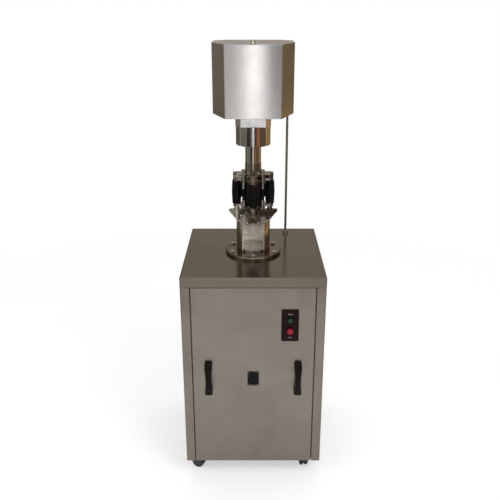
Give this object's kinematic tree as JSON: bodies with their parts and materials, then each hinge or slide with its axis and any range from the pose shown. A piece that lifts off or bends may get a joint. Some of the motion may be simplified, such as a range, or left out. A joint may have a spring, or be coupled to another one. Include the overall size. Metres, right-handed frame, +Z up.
{
  "type": "cap sealing machine",
  "caption": "Semi-automatic cap sealing machine: steel cabinet on casters, bottle nest with lift, spinning head with spring-loaded roller arms, motor under a folded hood.",
  "frame": {"origin": "centre of the overall footprint on the floor", "axes": "+Z up, the operator's side at -Y, +X to the operator's right; the head axis is vertical, 9 mm behind the origin"},
  "size_m": [0.55, 0.604, 1.7383],
  "materials": {
    "cabinet_steel": "brushed stainless sheet",
    "frame_steel": "grey primed steel",
    "hood_steel": "brushed stainless sheet",
    "polished_steel": "polished",
    "head_steel": "machined and oiled",
    "roller_steel": "hardened and ground",
    "black_steel": "blackened, oiled",
    "fastener": "bright zinc",
    "black_plastic": "moulded, fine grain",
    "start_green": "smooth",
    "stop_red": "smooth",
    "bronze": "turned bronze",
    "motor_paint": "enamel",
    "pulley_metal": "turned",
    "belt_rubber": "ribbed fabric cover",
    "caster_black": "moulded nylon"
  },
  "bodies": {
    "machine": {"frame_tubes": "frame_steel", "body_shell": "cabinet_steel", "floor_plate": "cabinet_steel", "deck_plate": "frame_steel", "top_cover": "cabinet_steel", "caster_plates": "frame_steel", "bottle_nest": "polished_steel", "hex_bolts": "fastener", "guide_bush": "bronze", "drive_hangers": "frame_steel", "gear_motor": "motor_paint", "column": "polished_steel", "column_collars": "polished_steel", "conduit": "polished_steel", "cable_glands": "fastener", "head_bracket": "frame_steel", "spindle_housing": "polished_steel", "spindle_bearings": "roller_steel", "hood": "hood_steel", "hood_base": "frame_steel", "hood_stud": "fastener", "motor": "motor_paint", "belt": "belt_rubber"},
    "panel": {"front_panel": "cabinet_steel", "handle_left": "black_plastic", "handle_right": "black_plastic", "handle_screws": "fastener", "switch_plate": "black_plastic", "contact_block": "black_plastic", "name_plate": "black_plastic"},
    "start": {"start_button": "start_green"},
    "stop": {"stop_button": "stop_red"},
    "motor_rotor": {"motor_shaft": "polished_steel", "motor_pulley": "pulley_metal"},
    "head": {"spindle": "polished_steel", "spindle_pulley": "pulley_metal", "head_adaptor": "polished_steel", "spider_plates": "head_steel", "stay_posts": "head_steel", "head_core": "black_steel", "torsion_springs": "black_steel"},
    "pressing_chuck": {"chuck": "head_steel"},
    "lift": {"lift_platform": "polished_steel"},
    "cam": {"lift_cam": "roller_steel"},
    "arm_front": {"roller_arm_front": "head_steel"},
    "sealing_roller_front": {"roller_front": "roller_steel"},
    "arm_right": {"roller_arm_right": "head_steel"},
    "sealing_roller_right": {"roller_right": "roller_steel"},
    "arm_rear": {"roller_arm_rear": "head_steel"},
    "sealing_roller_rear": {"roller_rear": "roller_steel"},
    "arm_left": {"roller_arm_left": "head_steel"},
    "sealing_roller_left": {"roller_left": "roller_steel"},
    "caster_front_left": {"caster_hood_front_left": "caster_black"},
    "wheels_front_left": {"caster_wheels_front_left": "caster_black"},
    "caster_front_right": {"caster_hood_front_right": "caster_black"},
    "wheels_front_right": {"caster_wheels_front_right": "caster_black"},
    "caster_rear_left": {"caster_hood_rear_left": "caster_black"},
    "wheels_rear_left": {"caster_wheels_rear_left": "caster_black"},
    "caster_rear_right": {"caster_hood_rear_right": "caster_black"},
    "wheels_rear_right": {"caster_wheels_rear_right": "caster_black"}
  },
  "joints": [
    {"name": "panel_lift_off", "type": "slide", "parent": "machine", "child": "panel", "axis": [0, -1, 0], "range_m": [0, 0.3]},
    {"name": "start_press", "type": "slide", "parent": "panel", "child": "start", "axis": [0, 1, 0], "range_m": [0, 0.003], "stiffness_N_per_m": 400},
    {"name": "stop_press", "type": "slide", "parent": "panel", "child": "stop", "axis": [0, 1, 0], "range_m": [0, 0.003], "stiffness_N_per_m": 400},
    {"name": "spindle_spin", "type": "hinge", "parent": "machine", "child": "head", "pos_m": [0, 0.009, 1.3], "axis": [0, 0, 1], "continuous": true},
    {"name": "motor_spin", "type": "hinge", "parent": "machine", "child": "motor_rotor", "pos_m": [0.088, 0.067, 1.6], "axis": [0, 0, 1], "continuous": true},
    {"name": "chuck_slide", "type": "slide", "parent": "head", "child": "pressing_chuck", "axis": [0, 0, 1], "range_m": [0, 0.012], "stiffness_N_per_m": 1500},
    {"name": "cam_turn", "type": "hinge", "parent": "machine", "child": "cam", "pos_m": [0, 0.009, 0.65], "axis": [1, 0, 0], "range_deg": [0, 150]},
    {"name": "lift_slide", "type": "slide", "parent": "machine", "child": "lift", "axis": [0, 0, 1], "range_m": [0, 0.0301]},
    {"name": "arm_swing_front", "type": "hinge", "parent": "head", "child": "arm_front", "pos_m": [0, -0.057, 1.07], "axis": [0, 0, 1], "range_deg": [-5, 0]},
    {"name": "roller_spin_front", "type": "hinge", "parent": "arm_front", "child": "sealing_roller_front", "pos_m": [-0.02298, -0.01028, 1.029], "axis": [0, 0, 1], "continuous": true},
    {"name": "arm_swing_right", "type": "hinge", "parent": "head", "child": "arm_right", "pos_m": [0.066, 0.009, 1.07], "axis": [0, 0, 1], "range_deg": [-5, 0]},
    {"name": "roller_spin_right", "type": "hinge", "parent": "arm_right", "child": "sealing_roller_right", "pos_m": [0.01928, -0.01398, 1.029], "axis": [0, 0, 1], "continuous": true},
    {"name": "arm_swing_rear", "type": "hinge", "parent": "head", "child": "arm_rear", "pos_m": [0, 0.075, 1.07], "axis": [0, 0, 1], "range_deg": [-5, 0]},
    {"name": "roller_spin_rear", "type": "hinge", "parent": "arm_rear", "child": "sealing_roller_rear", "pos_m": [0.02298, 0.02828, 1.029], "axis": [0, 0, 1], "continuous": true},
    {"name": "arm_swing_left", "type": "hinge", "parent": "head", "child": "arm_left", "pos_m": [-0.066, 0.009, 1.07], "axis": [0, 0, 1], "range_deg": [-5, 0]},
    {"name": "roller_spin_left", "type": "hinge", "parent": "arm_left", "child": "sealing_roller_left", "pos_m": [-0.01928, 0.03198, 1.029], "axis": [0, 0, 1], "continuous": true},
    {"name": "swivel_front_left", "type": "hinge", "parent": "machine", "child": "caster_front_left", "pos_m": [-0.215, -0.212, 0.06], "axis": [0, 0, 1], "continuous": true},
    {"name": "wheel_spin_front_left", "type": "hinge", "parent": "caster_front_left", "child": "wheels_front_left", "pos_m": [-0.23076, -0.20563, 0.025], "axis": [0.3746, 0.9272, 0], "continuous": true},
    {"name": "swivel_front_right", "type": "hinge", "parent": "machine", "child": "caster_front_right", "pos_m": [0.215, -0.212, 0.06], "axis": [0, 0, 1], "continuous": true},
    {"name": "wheel_spin_front_right", "type": "hinge", "parent": "caster_front_right", "child": "wheels_front_right", "pos_m": [0.21263, -0.19517, 0.025], "axis": [0.9903, 0.1392, 0], "continuous": true},
    {"name": "swivel_rear_left", "type": "hinge", "parent": "machine", "child": "caster_rear_left", "pos_m": [-0.215, 0.23, 0.06], "axis": [0, 0, 1], "continuous": true},
    {"name": "wheel_spin_rear_left", "type": "hinge", "parent": "caster_rear_left", "child": "wheels_rear_left", "pos_m": [-0.2235, 0.21528, 0.025], "axis": [-0.866, 0.5, 0], "continuous": true},
    {"name": "swivel_rear_right", "type": "hinge", "parent": "machine", "child": "caster_rear_right", "pos_m": [0.215, 0.23, 0.06], "axis": [0, 0, 1], "continuous": true},
    {"name": "wheel_spin_rear_right", "type": "hinge", "parent": "caster_rear_right", "child": "wheels_rear_right", "pos_m": [0.22081, 0.21402, 0.025], "axis": [-0.9397, -0.342, 0], "continuous": true}
  ],
  "couplings": [
    {"joint": "motor_spin", "follows": "spindle_spin", "ratio": 2},
    {"joint": "lift_slide", "follows": "cam_turn", "m_per_rad": 0.011459},
    {"joint": "arm_swing_front", "follows": "chuck_slide", "rad_per_m": -7.25},
    {"joint": "arm_swing_right", "follows": "chuck_slide", "rad_per_m": -7.25},
    {"joint": "arm_swing_rear", "follows": "chuck_slide", "rad_per_m": -7.25},
    {"joint": "arm_swing_left", "follows": "chuck_slide", "rad_per_m": -7.25}
  ]
}
